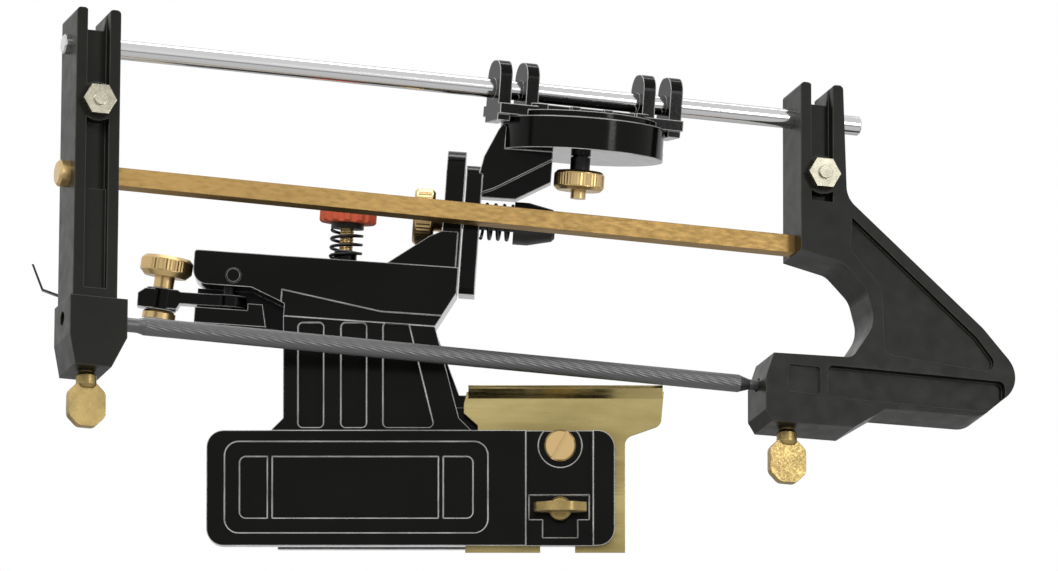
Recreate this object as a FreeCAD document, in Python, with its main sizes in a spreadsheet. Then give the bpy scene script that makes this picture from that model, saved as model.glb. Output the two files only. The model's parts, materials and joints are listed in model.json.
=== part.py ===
import FreeCAD, Part
import math
import os
import Sketcher
from FreeCAD import Placement, Rotation, Vector

# A hand-driven filing guide that clamps on a chainsaw's guide bar and carries a round file in a
# sliding frame. Its own frame has X along the guide bar, Y away from the viewer and Z up. Its origin
# lies on the fixed jaw's face, in line with the clamp screw. The bridge and all above it lean by a few
# degrees, the frame is swivelled on its table and swung on its rod, so they are drawn level in frames
# of their own and placed afterwards.

doc = FreeCAD.newDocument("filing_guide")
sheet = doc.addObject("Spreadsheet::Sheet", "sizes")


class Size:
    """A length or an angle together with the sheet expression that gives it."""

    def __init__(self, value, text):
        self.value = value
        self.text = text

    def joined(self, other, sign, value):
        return Size(value, "(" + self.text + sign + as_size(other).text + ")")

    def __add__(self, other):
        return self.joined(other, " + ", self.value + number(other))

    def __radd__(self, other):
        return as_size(other) + self

    def __sub__(self, other):
        return self.joined(other, " - ", self.value - number(other))

    def __rsub__(self, other):
        return as_size(other) - self

    def __mul__(self, other):
        return self.joined(other, " * ", self.value * number(other))

    def __rmul__(self, other):
        return as_size(other) * self

    def __truediv__(self, other):
        return self.joined(other, " / ", self.value / number(other))

    def __neg__(self):
        return as_size(0) - self


def number(given):
    return given.value if isinstance(given, Size) else float(given)


def as_size(given):
    return given if isinstance(given, Size) else Size(float(given), repr(float(given)))


SIZES = {
    # How the parts stand to each other
    "lean_angle": 4, "swivel_angle": 18, "swing_angle": 12,
    "bore_gap": 0.05, "face_gap": 0.3,
    # Saddle: front leg, guide bar slot and rear leg, from front to back
    "front_leg": 8, "slot_width": 10, "rear_leg": 6, "neck_step": 1.2,
    "plate_left": 113.5, "plate_right": 17.5, "plate_bottom": 11.7, "plate_top": 25.4,
    "plate_corner": 5.5,
    "neck_left": 89, "neck_right": 40.2, "neck_foot": 32.5, "neck_fillet": 4, "bridge_foot": 56,
    "jaw_left": 91, "jaw_right": 32.5, "jaw_top": 38, "jaw_step": 22, "jaw_lift": 3.7, "jaw_shoulder": 20,
    "land_left": 60, "land_right": 18, "land_low": 6, "land_high": 34, "land_rise": 0.5,
    "panel_left": 107.7, "panel_right": 23.2, "panel_low": 7.6, "panel_high": 21.8, "panel_corner": 4.5,
    "panel_depth": 0.9,
    "inner_margin": 4.8, "inner_corner": 2, "rib_width": 1.6, "left_rib": 93.2, "right_rib": 38.3,
    "recess_top": 60.2, "recess_low": 26.4, "recess_depth": 2, "recess_corner": 1.5,
    "first_recess": 84.2, "second_recess": 70.4, "third_recess": 56.9, "recess_width": 8.2,
    "recess_spread": 16.5,
    "channel_left": 11, "channel_right": 10.6, "channel_depth": 2, "seat_radius": 7, "seat_depth": 3.2,
    "set_screw_height": 20.6,
    "pocket_left": 10, "pocket_right": 9.3, "pocket_high": 4.7, "pocket_low": 3.2, "notch_half": 5.6,
    "notch_low": 9, "pocket_depth": 4,
    # Pressure plate of bent sheet steel
    "sheet_steel": 2, "sheet_gap": 0.5, "blade_left": 31, "blade_right": 33.4, "blade_low": 27.5,
    "blade_top": 38.4,
    "tail_left": 30.5, "tail_right": 20.9, "tail_low": 13.4, "tail_notch": 6.4, "tail_step": 4.8,
    "blade_bevel": 4,
    "lip_rise": 2, "lip_reach": 2.6,
    # Clamp screw, with its paddle, and the slotted screw above it
    "clamp_radius": 3, "collar_radius": 3.75, "collar_length": 5, "paddle_width": 17, "paddle_length": 13,
    "paddle_thick": 2.9,
    "clamp_travel": 4.5, "slot_head_radius": 5.1, "slot_head_height": 2.4, "slot_cut": 1.2,
    "slot_cut_depth": 0.8,
    "set_radius": 2.5,
    # Bridge on top of the saddle, drawn level in the leaning frame
    "bridge_left": 123, "bridge_right": 38, "bridge_top": 75.3, "head_low": 64.4, "head_end": 104,
    "head_corner": 4.6,
    "bridge_heel": 93.1, "strut_foot": 44.2, "strut_top": 67.2, "bridge_web": 1.2, "web_left": 59.5,
    "web_right": 62,
    "lug_left": 121.7, "lug_right": 100, "lug_low": 52, "lug_top": 59.2, "lug_ledge": 57,
    "lug_step": 104.8,
    "lug_front": 16, "lug_wall": 5,
    "ear_thick": 6.1, "ear_front": 11, "ear_rise": 21.7, "hinge_height": 92.2,
    "hinge_depth": 3, "ear_gap": 0.4,
    "gusset_start": 61.1, "gusset_height": 9.6, "gusset_thick": 3.5,
    "height_place": 74.8, "chain_line": 5, "height_radius": 2.1, "boss_radius": 3.7, "boss_height": 3.9,
    "pin_place": 111, "pin_depth": 8, "pin_radius": 2, "pin_rise": 7,
    "lock_place": 110, "lock_height": 67.8, "lock_radius": 2.6, "lock_stand": 1,
    # Height screw with its red knob, hub and spring
    "red_radius": 9.25, "red_height": 6.4, "red_low": 88.2, "hub_radius": 5.3, "hub_height": 1.8,
    "foot_radius": 3.4, "foot_height": 2,
    "height_tip": 51.6, "flute_radius": 1.6, "flute_count": 14,
    "spring_radius": 4.9, "spring_wire": 1.1, "spring_turns": 3.5,
    # Chain stop: leaf, rivet, arm, screw
    "leaf_thick": 0.7, "leaf_width": 6, "leaf_knee": 141, "leaf_knee_height": 51.9,
    "leaf_end": 162, "leaf_rise": 57.2,
    "leaf_bend": 171, "leaf_bend_height": 59.8, "leaf_tip": 174.6, "leaf_tip_height": 67.5,
    "rivet_place": 98, "rivet_radius": 2.2, "rivet_head": 1.4,
    "eye_radius": 5.5, "eye_thick": 3.8, "eye_height": 59.9, "arm_tilt": 5, "arm_length": 29.4,
    "arm_width": 9.5,
    "arm_top": 61.7, "arm_low": 57.9, "arm_waist": 9, "arm_swell": 0.6, "arm_drop": 1.8,
    "arm_end_top": 60.6, "arm_end_low": 56.3,
    "stop_place": 21.9, "stop_height": 58.9, "stop_boss_radius": 5.2, "stop_boss_top": 3.7,
    "stop_boss_low": 3.2, "stop_radius": 2,
    "stop_knob_radius": 8.3, "stop_knob_height": 6.5, "stop_knob_low": 7.6, "stop_collar_radius": 3.3,
    "stop_foot_radius": 5.4, "stop_foot_height": 2.7, "stop_foot_low": 3.4,
    # Tilt hinge and its bolt, knob, spring and cap nut
    "bolt_radius": 2.9, "tilt_knob_radius": 9, "tilt_knob_width": 6.7, "tilt_knob_gap": 3,
    "tilt_collar_radius": 4.4,
    "plate_thick": 5.2, "plate_rise": 17.1, "plate_drop": 24.8,
    "tilt_spring_radius": 5.6, "tilt_spring_length": 11, "cap_length": 13.4, "cap_radius": 6.9,
    "cap_end_radius": 5.2,
    # Swivel arm and table
    "table_place": 1.34, "table_radius": 26.5, "table_low": 115.2, "table_top": 125.5, "arm_front": 10,
    "arm_half_web": 5,
    "window_depth": 1.6, "window_width": 6, "window_height": 5.6,
    "swivel_radius": 2.5, "swivel_knob_radius": 8, "swivel_knob_height": 6.3, "swivel_knob_top": 110.4,
    "swivel_tip": 2.6,
    "swivel_collar_radius": 3.2, "swivel_reach": 4,
    # Carriage that carries the rod, drawn about the rod's axis
    "rod_height": 134.4, "rod_radius": 3.175, "carriage_foot": 8.6, "ear_width": 4.2, "inner_ear": 19.8,
    "outer_ear": 29,
    "fork_half": 6.5, "fork_top": 9.2, "fork_low": 10.6, "carriage_half": 9, "carriage_deck": 5.2,
    "carriage_window": 8,
    # File frame: uprights, bar, file and handle, drawn along the rod and down from it
    "rod_left": 175.5, "rod_right": 94.2, "upright_left": 173.3, "upright_width": 14.6,
    "upright_half": 8.5,
    "ear_height": 10.3,
    "web_top": 4.2, "ear_thin": 3.6, "ear_slope": 1.1, "web_depth": 4, "web_step": 49, "step_depth": 2.2,
    "block_left": 174.2, "block_right": 155.3, "block_top": 85.3, "block_low": 98, "block_foot": 108,
    "block_bevel": 3,
    "bar_drop": 43, "bar_height": 6, "bar_depth": 5, "bar_nut_radius": 4.3, "bar_nut_length": 3.5,
    "file_drop": 91, "file_radius": 2.78, "file_left": 171, "file_cut_left": 147.4,
    "file_cut_right": 52.5,
    "file_right": 64.7,
    "file_plain_radius": 2.3, "file_neck": 56, "tang_radius": 1.7,
    "nut_drop": 20.6, "nut_flats": 9.5, "nut_thick": 3, "stud_radius": 2.2, "stud_stand": 0.9,
    "nut_seat_radius": 6.4,
    "thumb_radius": 2.5, "thumb_length": 14.5, "thumb_width": 12.2, "thumb_thick": 2.9,
    "right_thumb": 69,
    "column_left": 71, "column_width": 14.6, "handle_half": 8.75, "handle_recess": 2,
    "grip_depth": 3,
}


class Named:
    """The sizes of the sheet, each under its own name."""


v = Named()
for row, (name, value) in enumerate(SIZES.items(), 1):
    sheet.set("A" + str(row), name)
    sheet.set("B" + str(row), str(value))
    sheet.setAlias("B" + str(row), name)
    setattr(v, name, Size(float(value), "<<sizes>>." + name))

lean = Placement(Vector(0, 0, 0), Rotation(Vector(0, 1, 0), v.lean_angle.value))
table_point = Vector(-v.table_place.value, -v.hinge_depth.value, v.rod_height.value)
rod_frame = lean * Placement(table_point, Rotation(Vector(0, 0, 1), v.swivel_angle.value))
file_frame = rod_frame * Placement(Vector(0, 0, 0), Rotation(Vector(1, 0, 0), -v.swing_angle.value))
level = Placement()

front = -(v.slot_width + v.front_leg)
slot_front = -v.slot_width
neck_front = front + v.neck_step
parts = []


def bind(item, field, size):
    """Sets a field and ties it to the sheet."""
    size = as_size(size)
    if "." not in field:
        setattr(item, field, size.value)
    item.setExpression(field, size.text)


def finish(item, name, placement):
    """Gives a sub-part its name and its place."""
    item.Label = name
    item.Placement = placement
    parts.append(item)
    return item


def new_body():
    return doc.addObject("PartDesign::Body", "body")


def new_sketch(body, plane, offset):
    sketch = body.newObject("Sketcher::SketchObject", "outline")
    planes = [item for item in body.Origin.OriginFeatures if item.Role == plane + "_Plane"]
    sketch.AttachmentSupport = (planes[0], [""])
    sketch.MapMode = "FlatFace"
    sketch.AttachmentOffset = Placement(Vector(0, 0, number(offset)), Rotation())
    bind(sketch, "AttachmentOffset.Base.z", offset)
    return sketch


def hold(sketch, kind, size, *where):
    """Adds a dimension that follows the sheet."""
    size = as_size(size)
    index = sketch.addConstraint(Sketcher.Constraint(kind, *where, size.value))
    sketch.setExpression("Constraints[" + str(index) + "]", size.text)


def draw_outline(sketch, corners):
    """Draws a closed outline. A corner is (across, up) or (across, up, radius)."""
    count = len(corners)
    points = [Vector(number(corner[0]), number(corner[1]), 0) for corner in corners]
    starts, ends, arcs = [], [], {}
    for place, point in enumerate(points):
        before = (points[place - 1] - point).normalize()
        after = (points[(place + 1) % count] - point).normalize()
        if len(corners[place]) == 2:
            starts.append(point)
            ends.append(point)
            continue
        radius = number(corners[place][2])
        half = before.getAngle(after) / 2
        away = radius / math.tan(half)
        ends.append(point + before * away)
        starts.append(point + after * away)
        arcs[place] = point + (before + after).normalize() * (radius / math.sin(half))
    lines = []
    for place in range(count):
        following = (place + 1) % count
        lines.append(sketch.addGeometry(Part.LineSegment(starts[place], ends[following]), False))
    for place in range(count):
        arriving, leaving = lines[place - 1], lines[place]
        if place not in arcs:
            sketch.addConstraint(Sketcher.Constraint("Coincident", arriving, 2, leaving, 1))
            hold(sketch, "DistanceX", corners[place][0], -1, 1, leaving, 1)
            hold(sketch, "DistanceY", corners[place][1], -1, 1, leaving, 1)
            continue
        centre = arcs[place]
        first, last = ends[place] - centre, starts[place] - centre
        turn_left = first.cross(last).z > 0
        low, high = (first, last) if turn_left else (last, first)
        low_angle, high_angle = math.atan2(low.y, low.x), math.atan2(high.y, high.x)
        circle = Part.Circle(centre, Vector(0, 0, 1), number(corners[place][2]))
        arc = sketch.addGeometry(Part.ArcOfCircle(circle, low_angle, high_angle), False)
        near, far = (1, 2) if turn_left else (2, 1)
        sketch.addConstraint(Sketcher.Constraint("Tangent", arriving, 2, arc, near))
        sketch.addConstraint(Sketcher.Constraint("Tangent", arc, far, leaving, 1))
        hold(sketch, "Radius", corners[place][2], arc)
        corner = sketch.addGeometry(Part.Point(points[place]), True)
        sketch.addConstraint(Sketcher.Constraint("PointOnObject", corner, 1, arriving))
        sketch.addConstraint(Sketcher.Constraint("PointOnObject", corner, 1, leaving))
        hold(sketch, "DistanceX", corners[place][0], -1, 1, corner, 1)
        hold(sketch, "DistanceY", corners[place][1], -1, 1, corner, 1)


def draw_circle(sketch, across, up, radius):
    centre = Vector(number(across), number(up), 0)
    circle = sketch.addGeometry(Part.Circle(centre, Vector(0, 0, 1), number(radius)), False)
    hold(sketch, "Radius", radius, circle)
    hold(sketch, "DistanceX", across, -1, 1, circle, 3)
    hold(sketch, "DistanceY", up, -1, 1, circle, 3)


def draw(sketch, shape):
    """A shape is a list of corners, or a circle as (across, up, radius)."""
    if isinstance(shape, tuple):
        draw_circle(sketch, *shape)
    else:
        draw_outline(sketch, shape)


# A pad or cut is named after the direction that it runs along. Its sketch has the other two directions.
SKETCH_PLANE = {"x": "YZ", "y": "XZ", "z": "XY"}


def pad(body, along, shape, low, high):
    """Adds material between two places along a direction."""
    start = -as_size(high) if along == "y" else as_size(low)
    sketch = new_sketch(body, SKETCH_PLANE[along], start)
    draw(sketch, shape)
    feature = body.newObject("PartDesign::Pad", "pad")
    feature.Profile = sketch
    bind(feature, "Length", as_size(high) - low)
    return feature


def cut(body, along, shape, low, high):
    """Removes material between two places along a direction."""
    start = -as_size(low) if along == "y" else as_size(high)
    sketch = new_sketch(body, SKETCH_PLANE[along], start)
    draw(sketch, shape)
    feature = body.newObject("PartDesign::Pocket", "cut")
    feature.Profile = sketch
    bind(feature, "Length", as_size(high) - low)
    return feature


def turn(body, corners):
    """Adds a turned solid about the body's own Z axis."""
    sketch = new_sketch(body, "XZ", 0)
    draw_outline(sketch, corners)
    feature = body.newObject("PartDesign::Revolution", "turned")
    feature.Profile = sketch
    feature.ReferenceAxis = (sketch, ["V_Axis"])
    feature.Angle = 360
    return feature


def oblong(left, right, low, high, radius=None):
    if radius is None:
        return [(left, low), (right, low), (right, high), (left, high)]
    return [(left, low, radius), (right, low, radius), (right, high, radius), (left, high, radius)]


def turned_part(name, corners, placement):
    body = new_body()
    turn(body, corners)
    return finish(body, name, placement)


def bridge_line(across):
    """Height of the joint between saddle and bridge, seen from the level frame."""
    lean_radians = math.radians(v.lean_angle.value)
    slope = Size(math.tan(lean_radians), "tan(<<sizes>>.lean_angle * 1 deg)")
    rise = Size(1 / math.cos(lean_radians), "(1 / cos(<<sizes>>.lean_angle * 1 deg))")
    return v.bridge_foot * rise - across * slope


def base_saddle():
    """Die-cast saddle: front leg with panel and neck, guide bar slot, rear leg with the fixed jaw."""
    body = new_body()
    neck_left, neck_right, foot = -v.neck_left, -v.neck_right, -v.neck_foot
    plate = oblong(-v.plate_left, v.plate_right, -v.plate_bottom, v.plate_top, v.plate_corner)
    pad(body, "y", plate, front, slot_front)
    neck = [
        (neck_left, v.panel_high), (foot, v.panel_high), (foot, v.plate_top + v.neck_fillet),
        (neck_right, bridge_line(neck_right)), (neck_left, bridge_line(neck_left)),
    ]
    pad(body, "y", neck, neck_front, slot_front)
    fillet = v.neck_fillet
    for side, edge in ((-1, neck_left), (1, foot)):
        web = [
            (edge - side * 1, v.plate_top - 1), (edge + side * fillet, v.plate_top - 1),
            (edge + side * fillet, v.plate_top), (edge, v.plate_top + fillet),
            (edge - side * 1, v.plate_top + fillet),
        ]
        pad(body, "y", web if side > 0 else list(reversed(web)), neck_front, slot_front)
    rear = [
        (-v.jaw_left, -v.plate_bottom), (-v.jaw_step, -v.plate_bottom),
        (-v.jaw_shoulder, v.jaw_lift - v.plate_bottom),
        (v.jaw_shoulder, v.jaw_lift - v.plate_bottom), (v.jaw_shoulder, v.blade_low + 1.5),
        (v.jaw_right, v.blade_low + 3.5), (v.jaw_right, v.jaw_top, 3),
        (foot, v.jaw_top), (neck_right, bridge_line(neck_right)), (neck_left, bridge_line(neck_left)),
        (neck_left, v.plate_top), (-v.jaw_left, v.panel_high),
    ]
    return body, rear


def neck_recesses(body):
    """Three hollows in the neck, the last one spreading towards its foot."""
    floor = neck_front + v.recess_depth
    for start in (v.first_recess, v.second_recess):
        hollow = oblong(-start, v.recess_width - start, v.recess_low, v.recess_top, v.recess_corner)
        cut(body, "y", hollow, front, floor)
    hollow = [
        (-v.third_recess, v.recess_low, v.recess_corner),
        (v.recess_spread - v.third_recess, v.recess_low, v.recess_corner),
        (v.recess_width - v.third_recess, v.recess_top, v.recess_corner),
        (-v.third_recess, v.recess_top, v.recess_corner),
    ]
    cut(body, "y", hollow, front, floor)


def plate_panel(body):
    """Stepped bare panel on the front leg, with an upright rib at each end."""
    outer = oblong(-v.panel_left, -v.panel_right, -v.panel_low, v.panel_high, v.panel_corner)
    cut(body, "y", outer, front, front + v.panel_depth)
    low, high = v.inner_margin - v.panel_low, v.panel_high - v.inner_margin
    left, right = v.inner_margin - v.panel_left, -(v.panel_right + v.inner_margin)
    floor = front + v.panel_depth * 2
    cut(body, "y", oblong(left, right, low, high, v.inner_corner), front, floor)
    for middle in (v.left_rib, v.right_rib):
        rib = oblong(-middle - v.rib_width / 2, v.rib_width / 2 - middle, low - 0.5, high + 0.5)
        pad(body, "y", rib, front + v.panel_depth, floor + 0.5)


def clamp_channel(body):
    """Upright channel for the two clamp screws, with a seat, a stepped pocket and the bores."""
    cut(body, "y", oblong(-v.channel_left, v.channel_right, -v.plate_bottom - 1, v.plate_top + 1), front,
        front + v.channel_depth)
    cut(body, "y", (0, v.set_screw_height, v.seat_radius), front, front + v.seat_depth)
    pocket = [
        (-v.pocket_left, -v.pocket_low), (-v.notch_half, -v.pocket_low), (-v.notch_half, -v.notch_low),
        (v.notch_half, -v.notch_low), (v.notch_half, -v.pocket_low), (v.pocket_right, -v.pocket_low),
        (v.pocket_right, v.pocket_high), (-v.pocket_left, v.pocket_high),
    ]
    cut(body, "y", pocket, front, front + v.pocket_depth)
    cut(body, "y", (0, 0, v.clamp_radius + v.bore_gap), front, slot_front)
    cut(body, "y", (0, v.set_screw_height, v.set_radius), front, slot_front)


def saddle_casting():
    """Front leg, and the rear leg with the raised land that is the fixed jaw.

    The bridge joins the two.
    """
    body, rear = base_saddle()
    neck_recesses(body)
    plate_panel(body)
    clamp_channel(body)
    finish(body, "front_leg", level)
    jaw = new_body()
    pad(jaw, "y", rear, v.land_rise, v.rear_leg)
    pad(jaw, "y", oblong(-v.land_left, v.land_right, -v.land_low, v.land_high), 0, v.land_rise + 0.5)
    finish(jaw, "rear_jaw", level)


def pressure_plate():
    """Bent sheet that presses the guide bar on the fixed jaw. Its upper edge is rolled to the front."""
    body = new_body()
    face = slot_front + v.sheet_gap
    back = face + v.sheet_steel
    outline = [
        (-v.tail_left, -v.tail_low), (-v.tail_notch, -v.tail_low),
        (-v.tail_notch, v.tail_step - v.tail_low),
        (v.tail_step, v.tail_step - v.tail_low), (v.tail_step, -v.tail_low), (v.tail_right, -v.tail_low),
        (v.tail_right, v.blade_low - v.blade_bevel, 3), (v.blade_right - 1, v.blade_low, 3),
        (v.blade_right, v.blade_top),
        (-v.blade_left + 1, v.blade_top), (-v.blade_left, v.blade_top - v.blade_bevel),
        (-v.blade_left, v.blade_low + v.blade_bevel), (-v.tail_left + v.blade_bevel, v.blade_low),
        (-v.tail_left + v.blade_bevel, v.blade_low - v.blade_bevel),
        (-v.tail_left, v.blade_low - v.blade_bevel * 2),
    ]
    pad(body, "y", outline, face, back)
    fold = v.blade_top - 1
    lip = [
        (back, fold), (back, v.blade_top),
        (face - v.lip_reach + v.sheet_steel / 2, v.blade_top + v.lip_rise),
        (face - v.lip_reach, v.blade_top + v.lip_rise - v.sheet_steel / 2), (face, fold - 1.2),
        (face, fold - 1.6),
        (back, fold - 1.6),
    ]
    pad(body, "x", lip, -v.blade_left + 1.5, v.blade_right - 0.4)
    return finish(body, "pressure_plate", level)


def paddle(body, middle_up, half_up, half_across, thick):
    """Oval thumb plate across the screw's own axis, in the plane of X and Z."""
    bevel = half_across * 0.55
    soft = bevel * 0.8
    shape = [
        (-half_across, middle_up - half_up + bevel, soft),
        (-half_across + bevel, middle_up - half_up, soft),
        (half_across - bevel, middle_up - half_up, soft),
        (half_across, middle_up - half_up + bevel, soft),
        (half_across, middle_up + half_up - bevel, soft),
        (half_across - bevel, middle_up + half_up, soft),
        (-half_across + bevel, middle_up + half_up, soft),
        (-half_across, middle_up + half_up - bevel, soft),
    ]
    pad(body, "y", shape, -thick / 2, thick / 2)


def clamp_screw():
    """Thumb screw through the front leg. Its own Z axis points out to the viewer."""
    body = new_body()
    tip = v.slot_width - v.sheet_gap
    collar = v.slot_width + v.front_leg - v.pocket_depth + v.clamp_travel + v.face_gap
    turn(body, [
        (0, tip), (v.clamp_radius, tip), (v.clamp_radius, collar), (v.collar_radius, collar),
        (v.collar_radius, collar + v.collar_length), (v.clamp_radius, collar + v.collar_length + 1),
        (0, collar + v.collar_length + 1),
    ])
    start = collar + v.collar_length - 1
    paddle(body, start + v.paddle_length / 2, v.paddle_length / 2, v.paddle_width / 2, v.paddle_thick)
    return finish(body, "clamp_thumb_screw", Placement(Vector(0, 0, 0), Rotation(Vector(1, 0, 0), 90)))


def set_screw():
    """Slotted screw above the clamp screw."""
    body = new_body()
    seat = v.slot_width + v.front_leg - v.seat_depth
    turn(body, [
        (0, v.slot_width - v.sheet_gap + 0.5), (v.set_radius, v.slot_width - v.sheet_gap + 0.5),
        (v.set_radius, seat),
        (v.slot_head_radius, seat), (v.slot_head_radius, seat + v.slot_head_height - 0.5),
        (v.slot_head_radius - 0.5, seat + v.slot_head_height), (0, seat + v.slot_head_height),
    ])
    top = seat + v.slot_head_height
    slit = oblong(-v.slot_head_radius - 1, v.slot_head_radius + 1, -v.slot_cut / 2, v.slot_cut / 2)
    cut(body, "z", slit, top - v.slot_cut_depth, top)
    turned = Rotation(Vector(1, 0, 0), 90) * Rotation(Vector(0, 0, 1), 60)
    return finish(body, "slotted_set_screw", Placement(Vector(0, 0, v.set_screw_height.value), turned))


def bridge():
    """Beam over the guide bar: head for the chain stop, height screw's boss and fixed hinge ear."""
    body = new_body()
    rear = v.rear_leg
    beam = [
        (-v.bridge_left, v.head_low, v.head_corner), (-v.head_end, v.head_low),
        (-v.bridge_heel, v.bridge_foot + 4),
        (-v.bridge_heel, v.bridge_foot), (-v.strut_foot, v.bridge_foot), (-v.bridge_right, v.strut_top),
        (-v.bridge_right, v.bridge_top), (-v.bridge_left, v.bridge_top, 1),
    ]
    pad(body, "y", beam, front, rear)
    web = [
        (-v.bridge_heel - 1, v.bridge_foot - 1), (-v.bridge_right + 1, v.bridge_foot - 1),
        (-v.bridge_right + 1, v.web_left), (-v.web_right, v.web_left), (-v.bridge_heel - 1, v.head_low),
    ]
    cut(body, "y", web, front, front + v.bridge_web)
    wall = oblong(-v.lug_left, -v.bridge_heel, v.lug_low, v.head_low)
    pad(body, "y", wall, rear - v.lug_wall, rear)
    lug = [
        (-v.lug_left, v.lug_low), (-v.lug_right + 1.5, v.lug_low), (-v.lug_right, v.lug_top),
        (-v.lug_step, v.lug_top), (-v.lug_step, v.lug_ledge), (-v.lug_left, v.lug_ledge),
    ]
    pad(body, "y", lug, -v.lug_front, rear)
    boss = (-v.height_place, -v.chain_line, v.boss_radius)
    pad(body, "z", boss, v.bridge_top - 1, v.bridge_top + v.boss_height)
    cut(body, "z", (-v.height_place, -v.chain_line, v.height_radius + v.bore_gap), v.bridge_foot - 1,
        v.bridge_top + v.boss_height)
    ear = [
        (-v.hinge_depth - v.ear_front, v.bridge_top - 2), (v.ear_front - v.hinge_depth, v.bridge_top - 2),
        (v.ear_front - v.hinge_depth, v.hinge_height + v.ear_rise, 9),
        (-v.hinge_depth - v.ear_front, v.hinge_height + v.ear_rise, 9),
    ]
    pad(body, "x", ear, -v.bridge_right - v.ear_thick, -v.bridge_right)
    gusset = [
        (-v.gusset_start, v.bridge_top - 1), (-v.bridge_right - 1, v.bridge_top - 1),
        (-v.bridge_right - 1, v.bridge_top + v.gusset_height + 2), (-v.bridge_right - v.ear_thick,
         v.bridge_top + v.gusset_height + 2),
         (-v.bridge_right - v.ear_thick - 4, v.bridge_top + v.gusset_height),
        (-v.gusset_start, v.bridge_top),
    ]
    pad(body, "y", gusset, front + 1, front + 1 + v.gusset_thick)
    cut(body, "x", (-v.hinge_depth, v.hinge_height, v.bolt_radius + v.bore_gap),
        -v.bridge_right - v.ear_thick - 1,
        -v.bridge_right)
    cut(body, "z", (-v.pin_place, -v.pin_depth, v.pin_radius), v.lug_low - 1, v.head_low + v.pin_rise)
    return finish(body, "bridge", lean)


def stop_pin():
    """Upright pin that the chain stop arm turns on, pressed in the head and the lug."""
    place = Vector(-v.pin_place.value, -v.pin_depth.value, 0)
    low, high = v.lug_low, v.head_low + v.pin_rise
    corners = [(0, low), (v.pin_radius, low), (v.pin_radius, high), (0, high)]
    return turned_part("stop_arm_pin", corners, lean * Placement(place, Rotation()))


def lock_button():
    """Round head on the front of the bridge's head."""
    place = Vector(-v.lock_place.value, 0, v.lock_height.value)
    start = -front
    corners = [
        (0, start), (v.lock_radius, start), (v.lock_radius, start + v.lock_stand / 2),
        (v.lock_radius - v.lock_stand / 2, start + v.lock_stand), (0, start + v.lock_stand),
    ]
    return turned_part("head_button", corners, lean * Placement(place, Rotation(Vector(1, 0, 0), 90)))


def height_screw():
    """Brass screw with a round foot. It passes through the bridge and bears on the chain below."""
    place = lean * Placement(Vector(-v.height_place.value, -v.chain_line.value, 0), Rotation())
    foot = v.height_tip + v.foot_height
    turned_part("height_screw", [
        (0, v.height_tip), (v.foot_radius, v.height_tip), (v.foot_radius, foot), (v.height_radius, foot),
        (v.height_radius, v.red_low), (0, v.red_low),
    ], place)
    hub = v.red_low - v.hub_height
    bore = v.height_radius + v.bore_gap
    turned_part("height_hub", [
        (bore, hub), (v.hub_radius, hub), (v.hub_radius, v.red_low), (bore, v.red_low),
    ], place)
    knob = new_body()
    top = v.red_low + v.red_height
    turn(knob, [
        (0, v.red_low), (v.red_radius - 0.6, v.red_low), (v.red_radius, v.red_low + 0.6),
        (v.red_radius, top - 1), (v.red_radius - 1, top), (0, top),
    ])
    flute = cut(knob, "z", (v.red_radius + v.flute_radius * 0.55, 0, v.flute_radius), v.red_low - 1,
        top + 1)
    pattern = knob.newObject("PartDesign::PolarPattern", "flutes")
    pattern.Originals = [flute]
    pattern.Axis = (flute.Profile[0], ["N_Axis"])
    pattern.Angle = 360
    pattern.Occurrences = int(v.flute_count.value)
    pattern.setExpression("Occurrences", v.flute_count.text)
    knob.Tip = pattern
    finish(knob, "red_height_knob", place)


def coil(name, radius, wire, length, turns, placement):
    """Open coil spring along its own Z axis, between z = 0 and its length."""
    helix = doc.addObject("Part::Helix", "coil_path")
    bind(helix, "Radius", radius)
    bind(helix, "Height", as_size(length) - wire)
    bind(helix, "Pitch", (as_size(length) - wire) / turns)
    section = doc.addObject("Part::RegularPolygon", "coil_section")
    section.Polygon = 6
    bind(section, "Circumradius", as_size(wire) / 2)
    section.Placement = Placement(Vector(number(radius), 0, 0), Rotation(Vector(1, 0, 0), 90))
    doc.recompute()
    spring = doc.addObject("Part::Sweep", "coil")
    spring.Sections = [section]
    spring.Spine = (helix, ["Edge" + str(place + 1) for place in range(len(helix.Shape.Edges))])
    spring.Solid = True
    spring.Frenet = True
    return finish(spring, name, placement * Placement(Vector(0, 0, number(wire) / 2), Rotation()))


def springs():
    """Springs of the height screw and of the tilt bolt."""
    room = v.red_low - v.hub_height - v.bridge_top - 0.1
    height = Vector(-v.height_place.value, -v.chain_line.value, v.bridge_top.value + 0.05)
    coil("height_spring", v.spring_radius, v.spring_wire, room, v.spring_turns,
        lean * Placement(height, Rotation()))


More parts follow.
